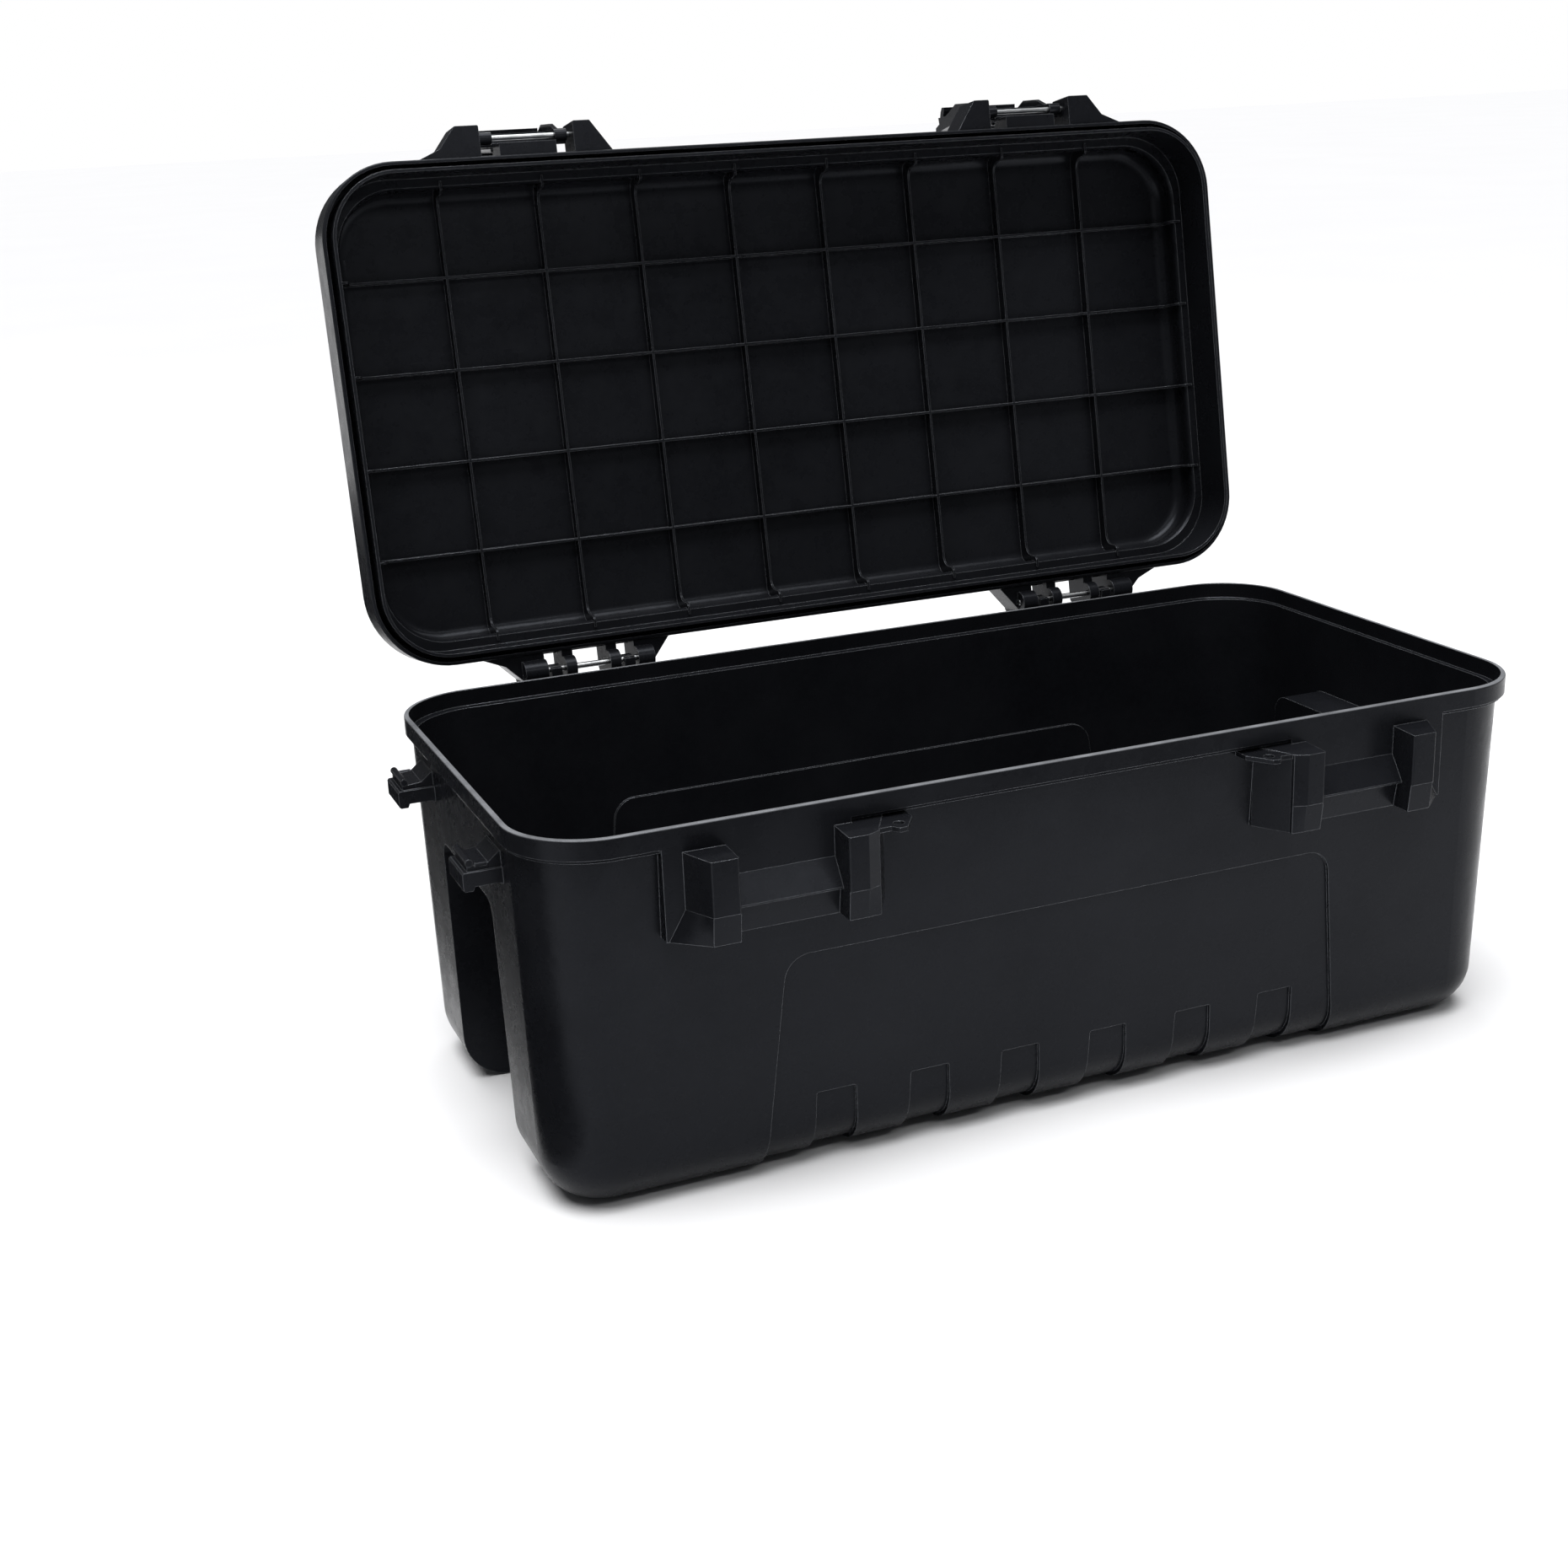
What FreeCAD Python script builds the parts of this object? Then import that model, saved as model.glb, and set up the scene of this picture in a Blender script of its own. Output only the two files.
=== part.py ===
import FreeCAD, Part
import math
import os

# Moulded plastic storage trunk for carpentry tools, with a lift-off lid.
# Frame: origin at the centre of the tub's underside, +X along the length, -Y the front, +Z up.
# The lid is modelled closed and then stored open on its rear hinge, with both latches swung out.

# ---- driving dimensions (mm) ----
RIM_LENGTH = 950.0
RIM_DEPTH = 470.0
RIM_CORNER = 73.0
RIM_TOP = 336.0
WALL = 4.0
BAND_WALL = 4.5
BAND_BOTTOM = 319.0
BEAD_BOTTOM = 316.0
BEAD_STEP = 2.5
SHOULDER = 320.5

# Body under the rim band: half sizes at its top, draft per millimetre of height, edge radii.
BODY_HALF_LENGTH = 470.0
BODY_HALF_DEPTH = 227.0
BODY_CORNER = 68.0
END_DRAFT = 0.016
SIDE_DRAFT = 0.056
CORNER_DRAFT = 0.050
BOTTOM_RADIUS = 46.0

# Sunken front and rear panels and the notches along their lower edge.
PANEL_TOP = 203.0
PANEL_HALF_TOP = 262.0
PANEL_HALF_BOTTOM = 285.0
PANEL_CORNER = 20.0
PANEL_DEPTH = 3.0
PANEL_REACH = 150.0
NOTCH_COUNT = 6
NOTCH_PITCH = 87.2
NOTCH_TOP = 71.0
NOTCH_HALF_TOP = 18.0
NOTCH_HALF_BOTTOM = 21.0
NOTCH_DEPTH = 3.0

# Tall recess in each end wall, with a pair of lifting brackets above it.
RECESS_TOP = 243.0
RECESS_HALF_TOP = 84.0
RECESS_HALF_BOTTOM = 90.0
RECESS_CORNER = 16.0
RECESS_DEPTH = 46.0
BRACKET_NEAR = 92.0
BRACKET_FAR = 137.0
BRACKET_OUT = 502.0
BRACKET_FOOT = 275.0
BRACKET_LEDGE = 291.0
BRACKET_RIB = 3.2

# Latch stations, measured from the tub's middle plane.
LUG_FRONT = 264.0
LUG_TOP = 313.5
INNER_FOOT = 176.0
INNER_STEP = 194.0
INNER_NEAR = 206.0
INNER_FAR = 223.0
OUTER_NEAR = 315.0
OUTER_FAR = 338.0
OUTER_FOOT = 351.0
PAD_FAR = 368.0
PAD_FACE = RIM_DEPTH / 2
PAD_BOTTOM = 242.0
PARTING = 267.0
SKIRT_INSET = 1.0
SKIRT_TAPER = 4.0
CATCH_TOP = 289.0
CATCH_LIP = 266.0
CATCH_FACE = 250.0
ROOT = 205.0

# Padlock eye beside each inner lug.
EYE_FAR = 157.5
EYE_THICK = 4.0
EYE_FACE = 263.0
EYE_HOLE = 9.0
EYE_X = 174.0
EYE_Y = -251.0

# Lid, in its closed place.
LID_GAP = 0.5
SKIRT_BOTTOM = RIM_TOP + LID_GAP
SKIRT_TOP = 379.0
SKIRT_WALL = 3.5
LID_WALL = 4.0
CROWN_TOP = 409.5
PLATEAU_TOP = 413.5
RING_GAP = 5.0
RING_WALL = 3.0
RING_BOTTOM = 329.5
RIB_WALL = 2.2
RIB_DEPTH = 11.0
LONG_RIB_PITCH = 88.0
CROSS_RIB_PITCH = 100.0

# Rear hinge.
REAR_LUG_TOP = 306.0
HINGE_Y = 252.0
HINGE_Z = 338.0
ROD_RADIUS = 3.0
ROD_FIT = 0.05
CRADLE_FIT = 0.1
ROD_START = 205.0
ROD_END = 333.0
EAR_RADIUS = 11.0
CRADLE_RADIUS = 8.5
LID_OPEN = 100.0

# Front latches.
LATCH_Y = -254.0
LATCH_Z = 358.0
PIN_RADIUS = 2.5
PIN_FIT = 0.05
PIN_START = 215.0
PIN_END = 323.0
LATCH_NEAR = 226.0
LATCH_FAR = 312.0
LATCH_OPEN = 172.0


def export(name, shape):
    """Write one node and print its size and state."""
    box = shape.BoundBox
    shape.exportStep("parts/" + name + ".step")
    print(name, shape.isValid(), len(shape.Solids), round(shape.Volume / 1000.0, 1), "cm3",
          round(box.XMin), round(box.XMax), round(box.YMin), round(box.YMax),
          round(box.ZMin), round(box.ZMax))


def vec(x, y, z):
    return FreeCAD.Vector(x, y, z)


def box(x0, x1, y0, y1, z0, z1):
    return Part.makeBox(x1 - x0, y1 - y0, z1 - z0, vec(x0, y0, z0))


def rounded_rectangle(half_x, half_y, radius, z):
    """Closed wire of four lines and four arcs at height z."""
    edges = []
    inner_x = half_x - radius
    inner_y = half_y - radius
    corners = [(inner_x, inner_y, 0), (-inner_x, inner_y, 90), (-inner_x, -inner_y, 180),
               (inner_x, -inner_y, 270)]
    ends = []
    for cx, cy, start in corners:
        points = []
        for angle in (start, start + 45, start + 90):
            turn = math.radians(angle)
            points.append(vec(cx + radius * math.cos(turn), cy + radius * math.sin(turn), z))
        ends.append(points)
    for index in range(4):
        first = ends[index]
        following = ends[(index + 1) % 4]
        edges.append(Part.Arc(first[0], first[1], first[2]).toShape())
        edges.append(Part.makeLine(first[2], following[0]))
    return Part.Wire(edges)


def prism(half_x, half_y, radius, z0, z1):
    face = Part.Face(rounded_rectangle(half_x, half_y, radius, z0))
    return face.extrude(vec(0, 0, z1 - z0))


def loft(sections):
    wires = [rounded_rectangle(*section) for section in sections]
    return Part.makeLoft(wires, True, False)


def polygon_prism(points, direction):
    """Prism over a closed polygon of 3-D points, swept along a vector."""
    wire = Part.makePolygon(points + [points[0]])
    return Part.Face(wire).extrude(direction)


def plan_prism(points, z0, z1):
    return polygon_prism([vec(x, y, z0) for x, y in points], vec(0, 0, z1 - z0))


def side_prism(points, x0, x1):
    """Prism along X over (y, z) points."""
    return polygon_prism([vec(x0, y, z) for y, z in points], vec(x1 - x0, 0, 0))


def rod_along_x(x0, x1, y, z, radius):
    return Part.makeCylinder(radius, x1 - x0, vec(x0, y, z), vec(1, 0, 0))


def upright_edges(shape, keep):
    """Edges that run straight along Z and pass the test on their middle point."""
    chosen = []
    for edge in shape.Edges:
        bounds = edge.BoundBox
        straight = bounds.XLength < 0.01 and bounds.YLength < 0.01
        if straight and keep(bounds.Center):
            chosen.append(edge)
    return chosen


def mirror_x(shape):
    return shape.mirror(vec(0, 0, 0), vec(1, 0, 0))


def mirror_y(shape):
    return shape.mirror(vec(0, 0, 0), vec(0, 1, 0))


def both_sides(shape):
    return [shape, mirror_x(shape)]


# ---- tub ----

def body_solid(inset, floor, top):
    """Tapered body with rounded corners and bottom edges; inset is how far each wall is moved in."""
    inset_x, inset_y = inset
    sections = []
    for z in (floor, top):
        below = RIM_TOP - z
        half_x = BODY_HALF_LENGTH - END_DRAFT * below - inset_x
        half_y = BODY_HALF_DEPTH - SIDE_DRAFT * below - inset_y
        radius = BODY_CORNER - CORNER_DRAFT * below - (inset_x + inset_y) / 4.0
        sections.append(rounded_rectangle(half_x, half_y, radius, z))
    solid = Part.makeLoft(sections, True, True)
    rim = [edge for edge in solid.Edges if edge.BoundBox.ZMax < floor + 0.01]
    return solid.makeFillet(BOTTOM_RADIUS - (inset_x + inset_y) / 4.0, rim)


def rounded_trapezoid(half_bottom, half_top, z_bottom, z_top, radius, grow):
    """Points of a trapezoid that stands on its wide side, with its top corners cut to arcs."""
    half_bottom += grow
    half_top += grow
    z_top += grow
    lean = (half_bottom - half_top) / (z_top - z_bottom)
    points = [(half_bottom, z_bottom)]
    for step in range(7):
        turn = math.radians(15.0 * step)
        u = half_top - radius + radius * math.cos(turn)
        v = z_top - radius + radius * math.sin(turn)
        points.append((u + lean * (z_top - v), v))
    mirrored = [(-u, v) for u, v in reversed(points)]
    return points + mirrored


def panel_cutters(grow):
    outline = rounded_trapezoid(PANEL_HALF_BOTTOM, PANEL_HALF_TOP, -5.0, PANEL_TOP, PANEL_CORNER, grow)
    front = polygon_prism([vec(x, -RIM_DEPTH, z) for x, z in outline],
                          vec(0, RIM_DEPTH - PANEL_REACH - grow / 2, 0))
    return [front, mirror_y(front)]


def notch_cutters(grow):
    cutters = []
    outline = rounded_trapezoid(NOTCH_HALF_BOTTOM, NOTCH_HALF_TOP, -5.0, NOTCH_TOP, 2.0, grow)
    for index in range(NOTCH_COUNT):
        middle = (index - (NOTCH_COUNT - 1) / 2.0) * NOTCH_PITCH
        front = polygon_prism([vec(x + middle, -RIM_DEPTH, z) for x, z in outline],
                              vec(0, RIM_DEPTH - PANEL_REACH - grow / 2, 0))
        cutters += [front, mirror_y(front)]
    return cutters


def recess_cutters(grow):
    outline = rounded_trapezoid(RECESS_HALF_BOTTOM, RECESS_HALF_TOP, -5.0, RECESS_TOP,
                                RECESS_CORNER, grow)
    right = polygon_prism([vec(RIM_LENGTH * 0.35, y, z) for y, z in outline], vec(RIM_LENGTH * 0.2, 0, 0))
    return both_sides(right)


def stepped_body(wall, floor, top):
    """Body with its sunken panels, notches and end recesses, all inset by the wall."""
    solid = body_solid((wall, wall), floor, top)
    panel_inset = (wall + 1.0, wall + PANEL_DEPTH)
    notch_inset = (wall + 1.0, wall + PANEL_DEPTH + NOTCH_DEPTH)
    recess_inset = (wall + RECESS_DEPTH, wall + 1.0)
    panel = body_solid(panel_inset, floor + PANEL_DEPTH, top + 1.0)
    notch = body_solid(notch_inset, floor + PANEL_DEPTH + NOTCH_DEPTH, top + 1.0)
    recess = body_solid(recess_inset, floor + 1.0, top + 1.0)
    for cutters, deeper in ((panel_cutters(wall), panel), (notch_cutters(wall), notch),
                            (recess_cutters(wall), recess)):
        solid = solid.cut([cutter.cut(deeper) for cutter in cutters])
    return solid


def rim_band():
    """Overhanging band round the mouth, with a bead along its lower edge."""
    band = prism(RIM_LENGTH / 2, RIM_DEPTH / 2, RIM_CORNER, BAND_BOTTOM, RIM_TOP)
    top_edges = [edge for edge in band.Edges if edge.BoundBox.ZMin > RIM_TOP - 0.01]
    band = band.makeFillet(1.8, top_edges)
    bead = prism(RIM_LENGTH / 2 - BEAD_STEP, RIM_DEPTH / 2 - BEAD_STEP, RIM_CORNER - BEAD_STEP,
                 BEAD_BOTTOM, BAND_BOTTOM + 1.0)
    return band.fuse(bead)


def mouth():
    """Space inside the band, down to the inner shoulder."""
    return prism(RIM_LENGTH / 2 - BAND_WALL, RIM_DEPTH / 2 - BAND_WALL, RIM_CORNER - BAND_WALL,
                 SHOULDER, RIM_TOP + 5.0)


def lug(outline, foot_shift):
    """Upright lug with rounded front edges and, under the parting line, a skirt that tapers to its foot.

    The outline's fourth point moves by foot_shift along X at the bottom of the skirt.
    """
    upper = plan_prism(outline, PARTING, LUG_TOP + 3.0)
    upper = upper.makeFillet(1.6, upright_edges(upper, lambda p: p.y < -LUG_FRONT + 1.0))
    slope = side_prism([(-LUG_FRONT - 5, LUG_TOP - 0.6), (-PAD_FACE + 5, LUG_TOP + 1.2),
                        (-PAD_FACE + 5, LUG_TOP + 9), (-LUG_FRONT - 5, LUG_TOP + 9)], 100, 400)
    wires = []
    for z, inset, shift in ((PAD_BOTTOM, SKIRT_TAPER, foot_shift), (PARTING, SKIRT_INSET, 0.0)):
        points = [vec(x, y + inset * (y < -LUG_FRONT + 1.0), z) for x, y in outline]
        points[3].x += shift
        wires.append(Part.makePolygon(points + [points[0]]))
    return upper.cut(slope).fuse(Part.makeLoft(wires, True, True))


def inner_lug():
    return lug([(INNER_FOOT, -ROOT), (INNER_FOOT, -PAD_FACE + 10), (INNER_STEP, -LUG_FRONT + 8),
                (INNER_STEP + 0.5, -LUG_FRONT + 5), (INNER_NEAR, -LUG_FRONT),
                (INNER_FAR, -LUG_FRONT), (INNER_FAR, -ROOT)], 0.0)


def outer_lug():
    return lug([(OUTER_NEAR, -ROOT), (OUTER_NEAR, -LUG_FRONT), (OUTER_FAR, -LUG_FRONT),
                (OUTER_FOOT, -PAD_FACE), (PAD_FAR, -PAD_FACE), (PAD_FAR, -ROOT)], PAD_FAR - OUTER_FOOT - 2.0)


def padlock_eye():
    """Thin tab, flush with the lug's top, with a hole for a shackle."""
    tab = plan_prism([(EYE_FAR, -ROOT), (EYE_FAR, -EYE_FACE + 22), (EYE_X - 3, -EYE_FACE + 1),
                      (EYE_X + 4, -EYE_FACE), (EYE_X + 9, -EYE_FACE + 7), (INNER_STEP + 4, -EYE_FACE + 6),
                      (INNER_STEP + 4, -ROOT)], LUG_TOP - EYE_THICK, LUG_TOP)
    front = upright_edges(tab, lambda p: p.y < -EYE_FACE + 8.0)
    tab = tab.makeFillet(1.5, front)
    return tab.cut(Part.makeCylinder(EYE_HOLE / 2, 20, vec(EYE_X, EYE_Y, LUG_TOP - 10)))


def front_station():
    """Pad, two lugs, catch bar and padlock eye for one front latch, on the +X side."""
    pad = side_prism([(-ROOT, CATCH_TOP), (-PAD_FACE, CATCH_TOP), (-PAD_FACE, BAND_BOTTOM + 2),
                      (-ROOT, BAND_BOTTOM + 2)], INNER_FAR - 15, PAD_FAR)
    catch = side_prism([(-ROOT, CATCH_TOP + 1), (-PAD_FACE, CATCH_TOP), (-CATCH_FACE, CATCH_LIP + 1.5),
                        (-CATCH_FACE, CATCH_LIP), (-CATCH_FACE + 6, CATCH_LIP),
                        (-CATCH_FACE + 10, PAD_BOTTOM), (-ROOT, PAD_BOTTOM - 3)],
                       INNER_FAR - 5, OUTER_NEAR + 5)
    return inner_lug().fuse([outer_lug(), pad, catch, padlock_eye()])


def cradle(x0, x1):
    """Upward-open hook that carries a hinge rod."""
    arm = CRADLE_RADIUS
    post = side_prism([(ROOT, 262.0), (238.0, 262.0), (HINGE_Y + arm, 296.0), (HINGE_Y + arm, HINGE_Z + 3),
                       (HINGE_Y - arm, HINGE_Z + 3), (HINGE_Y - arm, 312.0), (ROOT, 312.0)], x0, x1)
    bore = ROD_RADIUS + CRADLE_FIT
    seat = rod_along_x(x0 - 1, x1 + 1, HINGE_Y, HINGE_Z, bore)
    throat = box(x0 - 1, x1 + 1, HINGE_Y - bore, HINGE_Y + bore, HINGE_Z, HINGE_Z + 10)
    return post.cut(seat.fuse(throat))


def rear_station():
    """Two lugs, a pad and two rod cradles for one rear hinge, on the +X side."""
    pad = side_prism([(-ROOT, PAD_BOTTOM), (-PAD_FACE + 4, PAD_BOTTOM), (-PAD_FACE, PAD_BOTTOM + 6),
                      (-PAD_FACE, BAND_BOTTOM + 2), (-ROOT, BAND_BOTTOM + 2)], INNER_FAR - 15, PAD_FAR)
    mirrored = mirror_y(inner_lug().fuse([outer_lug(), pad]))
    above = box(INNER_FOOT - 5, PAD_FAR + 5, PAD_FACE + 0.2, LUG_FRONT + 5, REAR_LUG_TOP, LUG_TOP + 5)
    cradles = [cradle(INNER_FAR + 3, INNER_FAR + 14), cradle(OUTER_NEAR - 14, OUTER_NEAR - 3)]
    return mirrored.cut(above).fuse(cradles)


def end_bracket():
    """Lifting bracket high on the +X end wall: a ledge with a hooked foot, an upper tier and a round rib."""
    root = 440.0
    out = BRACKET_OUT
    wall = BODY_HALF_LENGTH - 6.0
    profile = [(root, BRACKET_LEDGE), (out - 1.5, BRACKET_LEDGE), (out, BRACKET_LEDGE - 1.5),
               (out, BRACKET_FOOT + 1.5), (out - 1.5, BRACKET_FOOT), (out - 8.0, BRACKET_FOOT),
               (out - 9.5, BRACKET_FOOT + 3.5)]
    for step in range(7):
        turn = math.radians(15.0 * step)
        profile.append((wall + 11.0 - 11.0 * math.sin(turn), BRACKET_FOOT - 6.5 + 10.0 * math.cos(turn)))
    profile.append((root, BRACKET_FOOT - 6.5))
    depth = BRACKET_FAR - BRACKET_NEAR
    ledge = polygon_prism([vec(x, BRACKET_NEAR, z) for x, z in profile], vec(0, depth, 0))
    tier_profile = [(root, BRACKET_LEDGE - 4), (out - 4.5, BRACKET_LEDGE - 4), (out - 4.5, 297.0),
                    (out - 10.0, 295.5), (out - 22.0, 296.5), (out - 31.0, 304.0), (root, 306.0)]
    tier = polygon_prism([vec(x, BRACKET_NEAR + 2.5, z) for x, z in tier_profile], vec(0, depth - 5.0, 0))
    rib = Part.makeCylinder(BRACKET_RIB, depth - 4, vec(out - 6.5, BRACKET_NEAR + 2, 298.0), vec(0, 1, 0))
    dash = Part.makeCylinder(1.6, 10.0, vec(out - 21.0, BRACKET_FAR - 3.0, 295.8), vec(1, 0, 0))
    return ledge.fuse([tier, rib, dash])


def tub_shell():
    outer = stepped_body(0.0, 0.0, SHOULDER - 1.0)
    additions = [rim_band()]
    additions += both_sides(front_station())
    additions += both_sides(rear_station())
    for bracket in both_sides(end_bracket()):
        additions += [bracket, mirror_y(bracket)]
    outer = outer.fuse(additions)
    inner = stepped_body(WALL, WALL + 0.5, SHOULDER + 1.0)
    return outer.cut(inner).cut(mouth())


# ---- lid, modelled closed ----

def crown_solid(inset, rise):
    """Raised middle of the lid, above the skirt's ledge."""
    sections = [(463.0 - inset, 223.0 - inset, 62.0 - inset / 2, SKIRT_TOP - 6.0),
                (459.0 - inset, 219.0 - inset, 60.0 - inset / 2, CROWN_TOP - 11.0 - rise),
                (457.2 - inset, 217.2 - inset, 58.0 - inset / 2, CROWN_TOP - 5.0 - rise),
                (453.5 - inset, 213.5 - inset, 55.0 - inset / 2, CROWN_TOP - 1.5 - rise),
                (447.5 - inset, 207.5 - inset, 50.0 - inset / 2, CROWN_TOP - rise)]
    return loft(sections)


def plateau():
    """Broad raised band along the middle of the crown."""
    return loft([(465.5, 107.0, 14.0, SKIRT_TOP - 4.0), (461.5, 105.0, 14.0, PLATEAU_TOP - 8.0),
                 (459.5, 103.0, 14.0, PLATEAU_TOP - 2.5), (455.0, 98.5, 12.0, PLATEAU_TOP)])


def lid_ribs():
    """Grid of thin stiffening ribs that follows the inside of the crown."""
    bars = []
    for index in range(4):
        y = (index - 1.5) * LONG_RIB_PITCH
        bars.append(box(-470, 470, y - RIB_WALL / 2, y + RIB_WALL / 2, SKIRT_TOP - 10, CROWN_TOP))
    for index in range(8):
        x = (index - 3.5) * CROSS_RIB_PITCH
        bars.append(box(x - RIB_WALL / 2, x + RIB_WALL / 2, -230, 230, SKIRT_TOP - 10, CROWN_TOP))
    grid = bars[0].fuse(bars[1:])
    zone = crown_solid(LID_WALL - 1.0, LID_WALL - 1.0)
    hollow = crown_solid(LID_WALL + RIB_DEPTH * 0.7, LID_WALL + RIB_DEPTH)
    return grid.common(zone.cut(hollow))


def wedge_block(points, z0, z1):
    block = plan_prism(points, z0, z1)
    return block.makeFillet(1.5, upright_edges(block, lambda p: p.y < -LUG_FRONT + 1.0))


def lid_front_bracket():
    """Two blocks that hold a latch pin, and the web between them, on the +X side."""
    root = -PAD_FACE + 2
    inner = wedge_block([(INNER_FOOT + 8, root), (INNER_NEAR, -LUG_FRONT), (INNER_FAR, -LUG_FRONT),
                         (INNER_FAR, root)], SKIRT_BOTTOM + 4, LATCH_Z + 15)
    outer = wedge_block([(OUTER_NEAR, root), (OUTER_NEAR, -LUG_FRONT), (OUTER_FAR, -LUG_FRONT),
                         (OUTER_FAR + 16, -PAD_FACE - 9), (PAD_FAR + 12, root)],
                        SKIRT_BOTTOM + 4, LATCH_Z + 15)
    web = side_prism([(root, SKIRT_BOTTOM + 4), (-LUG_FRONT + 17, SKIRT_BOTTOM + 4),
                      (-LUG_FRONT + 17, LATCH_Z + 4), (root, LATCH_Z + 15)],
                     LATCH_NEAR + 15, LATCH_FAR - 15)
    hole = rod_along_x(PIN_START - 0.5, PIN_END + 0.5, LATCH_Y, LATCH_Z, PIN_RADIUS + 0.02)
    return inner.fuse([outer, web]).cut(hole)


def ear(x0, x1):
    """Hinge ear of the lid round a rod, on the rear side."""
    top = LATCH_Z + 15
    flank = side_prism([(PAD_FACE - 2, SKIRT_BOTTOM + 4), (HINGE_Y, SKIRT_BOTTOM + 4),
                        (HINGE_Y + EAR_RADIUS, HINGE_Z), (LUG_FRONT - 1, top - 3), (LUG_FRONT - 4, top),
                        (PAD_FACE - 2, top)], x0, x1)
    return flank.fuse(rod_along_x(x0, x1, HINGE_Y, HINGE_Z, EAR_RADIUS))


def lid_rear_bracket():
    """Row of ears and slots of one rear hinge, on the +X side."""
    pieces = [ear(INNER_NEAR, INNER_FAR), ear(INNER_FAR + 18, INNER_FAR + 29),
              ear(OUTER_NEAR - 29, OUTER_NEAR - 18), ear(OUTER_NEAR, OUTER_FAR)]
    wedge = plan_prism([(OUTER_FAR - 1, PAD_FACE - 2), (OUTER_FAR - 1, LUG_FRONT - 3),
                        (OUTER_FAR + 16, PAD_FACE + 9), (PAD_FAR + 12, PAD_FACE - 2)],
                       SKIRT_BOTTOM + 4, LATCH_Z + 13)
    foot = plan_prism([(INNER_NEAR + 1, PAD_FACE - 2), (INNER_NEAR + 1, LUG_FRONT - 3),
                       (INNER_FOOT + 8, PAD_FACE - 2)], SKIRT_BOTTOM + 4, LATCH_Z + 13)
    web = box(INNER_NEAR, OUTER_FAR, PAD_FACE - 2, PAD_FACE + 3, LATCH_Z, LATCH_Z + 15)
    bore = rod_along_x(ROD_START - 1, ROD_END + 1, HINGE_Y, HINGE_Z, ROD_RADIUS + ROD_FIT)
    return pieces[0].fuse(pieces[1:] + [wedge, foot, web]).cut(bore)


def lid_shell():
    skirt = prism(RIM_LENGTH / 2, RIM_DEPTH / 2, RIM_CORNER, SKIRT_BOTTOM, SKIRT_TOP)
    edges = [edge for edge in skirt.Edges if edge.BoundBox.ZLength < 0.01]
    skirt = skirt.makeFillet(1.6, edges)
    skirt_space = prism(RIM_LENGTH / 2 - SKIRT_WALL, RIM_DEPTH / 2 - SKIRT_WALL,
                        RIM_CORNER - SKIRT_WALL, SKIRT_BOTTOM - 1, SKIRT_TOP - LID_WALL)
    ring_half_x = RIM_LENGTH / 2 - SKIRT_WALL - RING_GAP
    ring_half_y = RIM_DEPTH / 2 - SKIRT_WALL - RING_GAP
    ring_corner = RIM_CORNER - SKIRT_WALL - RING_GAP
    ring = prism(ring_half_x, ring_half_y, ring_corner, RING_BOTTOM, SKIRT_TOP - 1)
    ring_space = prism(ring_half_x - RING_WALL, ring_half_y - RING_WALL, ring_corner - RING_WALL,
                       RING_BOTTOM - 1, SKIRT_TOP - LID_WALL)
    outside = skirt.fuse([crown_solid(0.0, 0.0), plateau()])
    shell = outside.cut(skirt_space).fuse(ring.cut(ring_space))
    shell = shell.cut(crown_solid(LID_WALL, LID_WALL))
    additions = [lid_ribs()]
    additions += both_sides(lid_front_bracket())
    additions += both_sides(lid_rear_bracket())
    return shell.fuse(additions).removeSplitter()


# ---- latches, modelled closed ----

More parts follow.
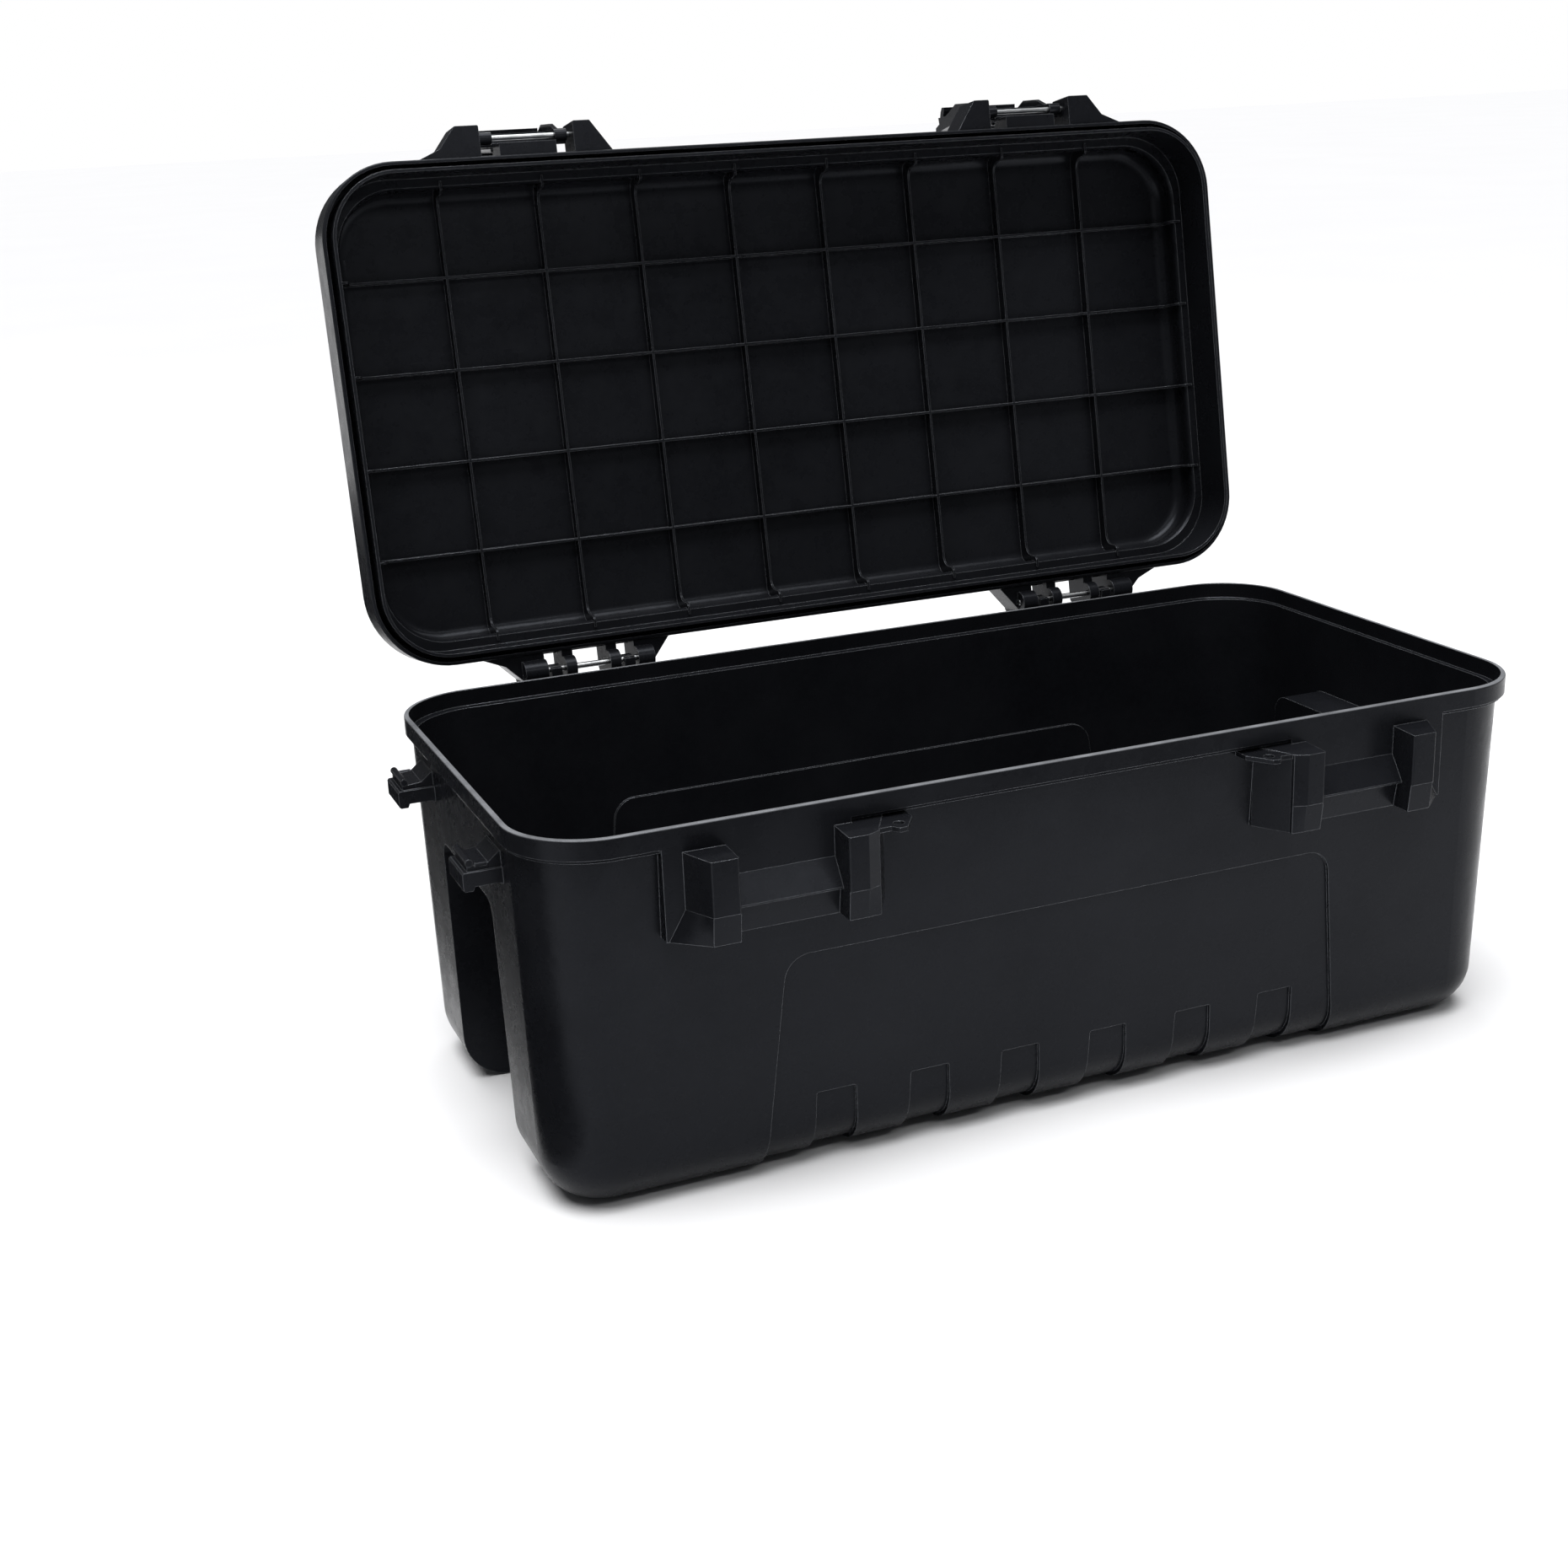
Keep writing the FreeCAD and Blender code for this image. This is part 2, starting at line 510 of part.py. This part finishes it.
def latch():
    """Pull-down latch: arms on the pin, windowed plate, hook bar and ribbed finger lip, +X side."""
    near = LATCH_NEAR
    far = LATCH_FAR
    plate = box(near, far, -262.5, -258.5, 252.0, 352.0)
    windows = [box(near + 13, far - 13, -270, -240, 326.0, 360.0),
               box(near + 9, far - 9, -270, -240, 283.0, 315.0)]
    cheek = side_prism([(-262.5, 353.0), (-262.5, 252.0), (-256.0, 250.0), (-254.5, 268.0), (-251.0, 276.0),
                        (-243.0, 291.0), (-243.0, 318.0), (-249.0, 338.0), (-249.0, 353.0)],
                       near, near + 4.5)
    cheeks = [cheek, cheek.translated(vec(far - near - 4.5, 0, 0))]
    knuckle = rod_along_x(near, near + 12, LATCH_Y, LATCH_Z, 6.0)
    arm = box(near, near + 12, -262.5, -249.0, 334.0, LATCH_Z)
    arms = [knuckle, knuckle.translated(vec(far - near - 12, 0, 0)),
            arm, arm.translated(vec(far - near - 12, 0, 0))]
    crossbar = side_prism([(-262.5, 326.0), (-262.5, 315.0), (-250.0, 317.0), (-250.0, 322.0)], near, far)
    hook = side_prism([(-262.5, 263.0), (-262.5, 253.0), (-250.0, 256.0), (-245.5, 259.0),
                       (-245.5, 264.0), (-249.0, 264.0), (-258.0, 260.0)], near, far)
    lip = side_prism([(-258.5, 284.0), (-263.5, 284.0), (-268.0, 262.0), (-272.0, 247.0), (-270.5, 243.5),
                      (-266.5, 243.5), (-262.0, 253.0), (-258.5, 256.0)], near, far)
    ribs = [rod_along_x(near + 12, far - 12, -268.2 - 1.15 * i, 262.0 - 4.6 * i, 1.6) for i in range(4)]
    bumps = [Part.makeSphere(2.6, vec(near + 18 + i * (far - near - 36) / 3.0, -264.6, 279.0))
             for i in range(4)]
    bars = [box(near + 9 + i * 17.0, near + 11.5 + i * 17.0, -262.0, -259.0, 283.0, 315.0)
            for i in (1, 2, 3)]
    body = plate.cut(windows[0]).cut(windows[1])
    body = body.fuse(cheeks + arms + [crossbar, hook, lip] + ribs + bumps + bars)
    bore = rod_along_x(near - 1, far + 1, LATCH_Y, LATCH_Z, PIN_RADIUS + PIN_FIT)
    return body.cut(bore).removeSplitter()


def latch_pin():
    pin = rod_along_x(PIN_START, PIN_END, LATCH_Y, LATCH_Z, PIN_RADIUS)
    return pin.makeChamfer(0.6, [edge for edge in pin.Edges if edge.BoundBox.XLength < 0.01])


def hinge_rod():
    rod = rod_along_x(ROD_START, ROD_END, HINGE_Y, HINGE_Z, ROD_RADIUS)
    return rod.makeChamfer(0.7, [edge for edge in rod.Edges if edge.BoundBox.XLength < 0.01])


# ---- stored pose: lid open on its hinge, latches swung out ----

def open_lid(shape):
    turned = shape.copy()
    turned.rotate(vec(0, HINGE_Y, HINGE_Z), vec(1, 0, 0), -LID_OPEN)
    return turned


def open_latch(shape):
    turned = shape.copy()
    turned.rotate(vec(0, LATCH_Y, LATCH_Z), vec(1, 0, 0), -LATCH_OPEN)
    return open_lid(turned)


def main():
    os.makedirs("parts", exist_ok=True)
    export("tub_shell", tub_shell())
    export("lid_shell", open_lid(lid_shell()))
    for side, place in (("right", lambda shape: shape), ("left", mirror_x)):
        export("latch_" + side, open_latch(place(latch())))
        export("latch_pin_" + side, open_lid(place(latch_pin())))
        export("hinge_rod_" + side, place(hinge_rod()))


main()
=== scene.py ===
import math

import bpy
from mathutils import Matrix, Vector


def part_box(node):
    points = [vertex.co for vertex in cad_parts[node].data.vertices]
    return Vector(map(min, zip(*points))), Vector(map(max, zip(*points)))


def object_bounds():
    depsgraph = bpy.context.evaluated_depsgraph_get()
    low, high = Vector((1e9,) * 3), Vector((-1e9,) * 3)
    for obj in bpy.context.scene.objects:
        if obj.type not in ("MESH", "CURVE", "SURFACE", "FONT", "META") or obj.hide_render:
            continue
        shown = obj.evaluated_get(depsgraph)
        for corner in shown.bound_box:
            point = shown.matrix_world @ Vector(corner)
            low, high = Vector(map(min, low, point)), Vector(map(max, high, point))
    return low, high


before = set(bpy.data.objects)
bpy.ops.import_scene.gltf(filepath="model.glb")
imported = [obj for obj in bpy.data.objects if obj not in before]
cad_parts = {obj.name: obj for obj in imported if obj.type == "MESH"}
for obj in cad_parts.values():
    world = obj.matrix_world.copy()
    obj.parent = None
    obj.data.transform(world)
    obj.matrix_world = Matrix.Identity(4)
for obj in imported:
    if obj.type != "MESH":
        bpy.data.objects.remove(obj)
cad_low, cad_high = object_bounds()

MM = 0.001

# The rear rod cradles are the tub's highest points; they stand this far over the rim.
CRADLE_RISE = 5.0 * MM

# Camera: place in metres, turns in degrees, lens and sensor width in millimetres.
CAMERA_PLACE = Vector((-0.845, -1.699, 0.883))
CAMERA_AZIMUTH = 21.637
CAMERA_DOWN = 18.502
CAMERA_ROLL = -2.42
CAMERA_LENS = 48.94
SENSOR_WIDTH = 36.0

# Colours are linear.
BLACK = (0.0045, 0.0048, 0.0060)
BLACK_PALE = (0.0085, 0.0090, 0.0108)
# Pale grey: the scuffs wear towards it, and the edges take it as a painted highlight.
BLACK_SCUFF_AND_HIGHLIGHT = (0.2500, 0.2600, 0.2800)
# Pale grey for the painted highlight along the rim's top.
BLACK_RIM_HIGHLIGHT = (0.2000, 0.2060, 0.2200)
STEEL = (0.52, 0.53, 0.54)
STEEL_DARK = (0.30, 0.31, 0.32)
FLOOR = (0.86, 0.86, 0.87)
STUDIO_AIR = (0.95, 0.97, 1.0)
GLOSS_TINT = (0.84, 0.89, 1.0)

# How strongly mottle, scuffs and the edges change the plastic's tone, roughness and gloss; the edges'
# paler tone is a painted highlight.
MOTTLE_TONE = 0.25
SCUFF_TONE = 0.015
SCUFF_ROUGHNESS = 0.03
EDGE_HIGHLIGHT_TONE = 0.60
EDGE_POLISH = 0.18
EDGE_GLOSS = 0.6

# Studio: STUDIO_GLOW is the strength of the surroundings as a light; the camera sees them white.
STUDIO_GLOW = 0.09
FLOOR_HALF_SIZE = 30.0
FLOOR_GAP = 0.2 * MM
FLAG_HEIGHT = 10 * MM


# ---- shader helpers ----

class Nodes:
    """A new material's node tree, with short calls to add and join nodes."""

    def __init__(self, name):
        self.material = bpy.data.materials.new(name)
        self.material.use_nodes = True
        self.tree = self.material.node_tree
        self.shader = self.tree.nodes["Principled BSDF"]
        self.place = self.add("ShaderNodeTexCoord").outputs["Object"]

    def add(self, kind, **values):
        node = self.tree.nodes.new(kind)
        for key, value in values.items():
            setattr(node, key, value)
        return node

    def join(self, output, socket):
        self.tree.links.new(output, socket)

    def feed(self, node, name, value):
        """Set a socket to a constant, or link it when the value is another node's output."""
        if isinstance(value, bpy.types.NodeSocket):
            self.join(value, node.inputs[name])
        else:
            node.inputs[name].default_value = value

    def stretched(self, scale):
        node = self.add("ShaderNodeMapping")
        node.inputs["Scale"].default_value = scale
        self.join(self.place, node.inputs["Vector"])
        return node.outputs["Vector"]

    def noise(self, scale, detail=3.0, roughness=0.5, vector=None):
        node = self.add("ShaderNodeTexNoise")
        node.inputs["Scale"].default_value = scale
        node.inputs["Detail"].default_value = detail
        node.inputs["Roughness"].default_value = roughness
        self.join(vector or self.place, node.inputs["Vector"])
        return node.outputs["Fac"]

    def cells(self, scale, smoothness=0.4):
        node = self.add("ShaderNodeTexVoronoi", feature="SMOOTH_F1")
        node.inputs["Scale"].default_value = scale
        node.inputs["Smoothness"].default_value = smoothness
        self.join(self.place, node.inputs["Vector"])
        return node.outputs["Distance"]

    def span(self, value, low, high, to_low=0.0, to_high=1.0):
        """Map low..high onto to_low..to_high, clamped."""
        node = self.add("ShaderNodeMapRange")
        self.join(value, node.inputs["Value"])
        limits = {"From Min": low, "From Max": high, "To Min": to_low, "To Max": to_high}
        for name, number in limits.items():
            node.inputs[name].default_value = number
        return node.outputs["Result"]

    def math(self, operation, first, second):
        node = self.add("ShaderNodeMath", operation=operation)
        self.feed(node, 0, first)
        self.feed(node, 1, second)
        return node.outputs["Value"]

    def mix(self, factor, first, second):
        node = self.add("ShaderNodeMix", data_type="RGBA")
        sockets = [socket for socket in node.inputs if socket.type == "RGBA"]
        self.join(factor, node.inputs["Factor"])
        for socket, value in zip(sockets, (first, second)):
            if isinstance(value, bpy.types.NodeSocket):
                self.join(value, socket)
            else:
                socket.default_value = (*value, 1.0)
        return [socket for socket in node.outputs if socket.type == "RGBA"][0]

    def bump(self, height, strength, distance, normal=None):
        node = self.add("ShaderNodeBump")
        node.inputs["Strength"].default_value = strength
        node.inputs["Distance"].default_value = distance
        self.join(height, node.inputs["Height"])
        if normal:
            self.join(normal, node.inputs["Normal"])
        return node.outputs["Normal"]

    def rounded(self, radius):
        node = self.add("ShaderNodeBevel", samples=3)
        node.inputs["Radius"].default_value = radius
        return node.outputs["Normal"]

    def edges(self, rounded_normal):
        """1 along the rounded edges, 0 on the flats."""
        flat = self.add("ShaderNodeNewGeometry").outputs["Normal"]
        node = self.add("ShaderNodeVectorMath", operation="DOT_PRODUCT")
        self.join(rounded_normal, node.inputs[0])
        self.join(flat, node.inputs[1])
        return self.span(node.outputs["Value"], 0.995, 0.86)

    def painted_rim_highlight(self, height, patches):
        """The patches value on level faces within a millimetre or two of the height, 0 elsewhere: the
        mask of a painted highlight.
        """
        place = self.add("ShaderNodeSeparateXYZ")
        self.join(self.place, place.inputs["Vector"])
        normal = self.add("ShaderNodeSeparateXYZ")
        self.join(self.add("ShaderNodeNewGeometry").outputs["Normal"], normal.inputs["Vector"])
        above = self.span(place.outputs["Z"], height - 2.0 * MM, height - 0.5 * MM)
        below = self.span(place.outputs["Z"], height + 0.5 * MM, height + 1.0 * MM, 1.0, 0.0)
        level = self.span(normal.outputs["Z"], 0.3, 0.8)
        in_reach = self.math("MULTIPLY", above, below)
        return self.math("MULTIPLY", in_reach, self.math("MULTIPLY", level, patches))


# ---- materials ----

def moulded_plastic(name, edge_radius, grain, grain_height, roughness, gloss, highlight_height=None):
    """Black moulded plastic: spark-eroded grain, flow clouds, fine scuffs and polished edges with a
    painted highlight (a paler tone).

    Upward faces at the given rim height carry a painted highlight too: a pale line that stands in for a
    bright reflection along the rim.
    """
    n = Nodes(name)
    rounded = n.rounded(edge_radius)
    edge = n.edges(rounded)
    clouds = n.span(n.noise(7.0, 4.0, 0.6), 0.3, 0.7)
    mottle = n.span(n.noise(160.0, 3.0), 0.35, 0.7)
    scuff_a = n.span(n.noise(26.0, 6.0, 0.7, n.stretched((1.0, 1.0, 14.0))), 0.66, 0.74)
    scuff_b = n.span(n.noise(30.0, 6.0, 0.7, n.stretched((12.0, 12.0, 1.0))), 0.68, 0.76)
    scuffs = n.math("MAXIMUM", scuff_a, scuff_b)
    tone = n.mix(clouds, BLACK, BLACK_PALE)
    tone = n.mix(n.math("MULTIPLY", mottle, MOTTLE_TONE), tone, BLACK_PALE)
    tone = n.mix(n.math("MULTIPLY", scuffs, SCUFF_TONE), tone, BLACK_SCUFF_AND_HIGHLIGHT)
    # Painted highlight: the edges are mixed towards pale grey, standing in for light caught on the
    # rounded edges.
    tone = n.mix(n.math("MULTIPLY", edge, EDGE_HIGHLIGHT_TONE), tone, BLACK_SCUFF_AND_HIGHLIGHT)
    # Painted highlight: a pale, patchy line on the level faces at the rim's top, standing in for a
    # bright reflection.
    if highlight_height:
        painted_rim_highlight = n.painted_rim_highlight(highlight_height, n.span(n.noise(35.0, 4.0), 0.25, 0.75, 0.45, 1.0))
        tone = n.mix(painted_rim_highlight, tone, BLACK_RIM_HIGHLIGHT)
    n.join(tone, n.shader.inputs["Base Color"])
    rough = n.span(n.noise(40.0, 5.0, 0.65), 0.3, 0.7, roughness - 0.05, roughness + 0.06)
    rough = n.math("SUBTRACT", rough, n.math("MULTIPLY", edge, EDGE_POLISH))
    rough = n.math("ADD", rough, n.math("MULTIPLY", scuffs, SCUFF_ROUGHNESS))
    n.join(rough, n.shader.inputs["Roughness"])
    shine = n.math("ADD", gloss, n.math("MULTIPLY", edge, EDGE_GLOSS))
    n.join(shine, n.shader.inputs["Specular IOR Level"])
    n.shader.inputs["Specular Tint"].default_value = (*GLOSS_TINT, 1.0)
    cells = n.cells(grain)
    fine = n.noise(grain * 2.3, 2.0)
    height = n.math("ADD", cells, n.math("MULTIPLY", fine, 0.5))
    normal = n.bump(height, 0.55, grain_height, rounded)
    waves = n.noise(9.0, 1.0)
    n.join(n.bump(waves, 0.12, 4.0 * MM, normal), n.shader.inputs["Normal"])
    return n.material


def drawn_steel(name):
    """Bright drawn bar with fine lines along its length and a little grey tarnish."""
    n = Nodes(name)
    lines = n.noise(420.0, 4.0, 0.7, n.stretched((0.03, 1.0, 1.0)))
    tarnish = n.span(n.noise(55.0, 5.0, 0.65), 0.45, 0.7)
    n.join(n.mix(tarnish, STEEL, STEEL_DARK), n.shader.inputs["Base Color"])
    rough = n.span(lines, 0.3, 0.7, 0.22, 0.38)
    n.join(n.math("ADD", rough, n.math("MULTIPLY", tarnish, 0.12)), n.shader.inputs["Roughness"])
    n.shader.inputs["Metallic"].default_value = 1.0
    n.join(n.bump(lines, 0.25, 0.05 * MM, n.rounded(0.3 * MM)), n.shader.inputs["Normal"])
    return n.material


def studio_floor(name):
    n = Nodes(name)
    tone = n.mix(n.span(n.noise(1.2, 3.0), 0.3, 0.7), FLOOR, tuple(0.985 * c for c in FLOOR))
    n.join(tone, n.shader.inputs["Base Color"])
    n.shader.inputs["Roughness"].default_value = 0.75
    n.shader.inputs["Specular IOR Level"].default_value = 0.15
    return n.material


def dress(node, material):
    """Give every slot of a CAD node the material."""
    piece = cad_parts[node]
    if not piece.material_slots:
        piece.data.materials.append(material)
    for slot in piece.material_slots:
        slot.link = "OBJECT"
        slot.material = material


# ---- stage, light and camera ----

def add_floor():
    half = FLOOR_HALF_SIZE
    mesh = bpy.data.meshes.new("floor")
    corners = [(-half, -half, 0), (half, -half, 0), (half, half, 0), (-half, half, 0)]
    mesh.from_pydata(corners, [], [(0, 1, 2, 3)])
    floor = bpy.data.objects.new("floor", mesh)
    floor.data.materials.append(studio_floor("floor_paint"))
    floor.location.z = cad_low.z - FLOOR_GAP
    bpy.context.scene.collection.objects.link(floor)


def aim(light, target):
    light.rotation_euler = (Vector(target) - light.location).to_track_quat("-Z", "Y").to_euler()


def add_light(name, kind, place, target, energy, size=None, angle=None):
    data = bpy.data.lights.new(name, kind)
    data.energy = energy
    if size:
        data.shape = "RECTANGLE"
        data.size, data.size_y = size
    if angle:
        data.angle = math.radians(angle)
    light = bpy.data.objects.new(name, data)
    light.location = place
    aim(light, target)
    bpy.context.scene.collection.objects.link(light)


def add_world():
    """Even pale surroundings: white where the camera looks straight at them, much dimmer as a light."""
    world = bpy.data.worlds.new("studio")
    world.use_nodes = True
    tree = world.node_tree
    background = tree.nodes["Background"]
    background.inputs["Color"].default_value = (*STUDIO_AIR, 1.0)
    background.inputs["Strength"].default_value = STUDIO_GLOW
    bright = tree.nodes.new("ShaderNodeBackground")
    bright.inputs["Color"].default_value = (1.0, 1.0, 1.0, 1.0)
    path = tree.nodes.new("ShaderNodeLightPath")
    mix = tree.nodes.new("ShaderNodeMixShader")
    tree.links.new(path.outputs["Is Camera Ray"], mix.inputs["Fac"])
    tree.links.new(background.outputs["Background"], mix.inputs[1])
    tree.links.new(bright.outputs["Background"], mix.inputs[2])
    tree.links.new(mix.outputs["Shader"], tree.nodes["World Output"].inputs["Surface"])
    bpy.context.scene.world = world


def add_lights():
    middle = (cad_low + cad_high) / 2
    add_light("sky_sun", "SUN", (-0.7, -0.5, 5.0), middle, 3.62, angle=50)
    add_light("overhead_box", "AREA", (0.1, -0.5, 2.5), middle, 16.0, size=(2.6, 0.5))
    add_light("back_box", "AREA", (-0.2, 1.5, 2.9), middle, 36.0, size=(2.8, 0.5))
    add_light("front_box", "AREA", (0.0, -2.2, 2.2), middle, 12.0, size=(2.4, 0.3))
    add_light("right_strip", "AREA", (2.6, -0.2, 0.9), middle, 1.5, size=(0.35, 1.5))


def add_flag(name, low, high):
    """A black card just above the floor, between two x, y corners, that shows only in reflections."""
    mesh = bpy.data.meshes.new(name)
    corners = [(low[0], low[1], 0), (high[0], low[1], 0), (high[0], high[1], 0), (low[0], high[1], 0)]
    mesh.from_pydata(corners, [], [(0, 1, 2, 3)])
    flag = bpy.data.objects.new(name, mesh)
    flag.location.z = cad_low.z + FLAG_HEIGHT
    n = Nodes(name + "_cloth")
    weave = n.span(n.noise(300.0, 3.0), 0.3, 0.7)
    n.join(n.mix(weave, BLACK, BLACK_PALE), n.shader.inputs["Base Color"])
    n.shader.inputs["Specular IOR Level"].default_value = 0.0
    mesh.materials.append(n.material)
    flag.visible_camera = False
    flag.visible_diffuse = False
    flag.visible_shadow = False
    bpy.context.scene.collection.objects.link(flag)


def add_flags():
    """One keeps the left end dark, one darkens the upright faces along the front of the rim."""
    add_flag("left_flag", (cad_low.x - 2.2, -0.30), (cad_low.x - 0.01, 3.2))
    add_flag("front_flag", (cad_low.x - 0.8, cad_low.y - 2.4), (1.1, cad_low.y - 0.68))


def add_camera():
    turn = math.radians(CAMERA_AZIMUTH)
    down = math.radians(CAMERA_DOWN)
    roll = math.radians(CAMERA_ROLL)
    forward = Vector((math.sin(turn) * math.cos(down), math.cos(turn) * math.cos(down), -math.sin(down)))
    level = Vector((math.cos(turn), -math.sin(turn), 0.0))
    upward = level.cross(forward)
    right = level * math.cos(roll) + upward * math.sin(roll)
    top = upward * math.cos(roll) - level * math.sin(roll)
    data = bpy.data.cameras.new("camera")
    data.lens = CAMERA_LENS
    data.sensor_width = SENSOR_WIDTH
    camera = bpy.data.objects.new("camera", data)
    axes = Matrix((right, top, -forward)).transposed()
    camera.matrix_world = Matrix.Translation(CAMERA_PLACE) @ axes.to_4x4()
    bpy.context.scene.collection.objects.link(camera)
    bpy.context.scene.camera = camera


# ---- the object ----

def dress_nodes():
    rim_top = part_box("tub_shell")[1].z - CRADLE_RISE
    tub = moulded_plastic("tub_black", 0.8 * MM, 1050.0, 0.05 * MM, 0.27, 0.12, rim_top)
    lid = moulded_plastic("lid_black", 0.7 * MM, 950.0, 0.06 * MM, 0.28, 0.15)
    latch = moulded_plastic("latch_black", 0.4 * MM, 1400.0, 0.03 * MM, 0.24, 0.22)
    steel = drawn_steel("bright_bar")
    dress("tub_shell", tub)
    dress("lid_shell", lid)
    for side in ("left", "right"):
        dress("latch_" + side, latch)
        dress("latch_pin_" + side, steel)
        dress("hinge_rod_" + side, steel)


dress_nodes()
add_floor()
add_world()
add_lights()
add_flags()
add_camera()
bpy.context.scene.view_settings.view_transform = "Standard"
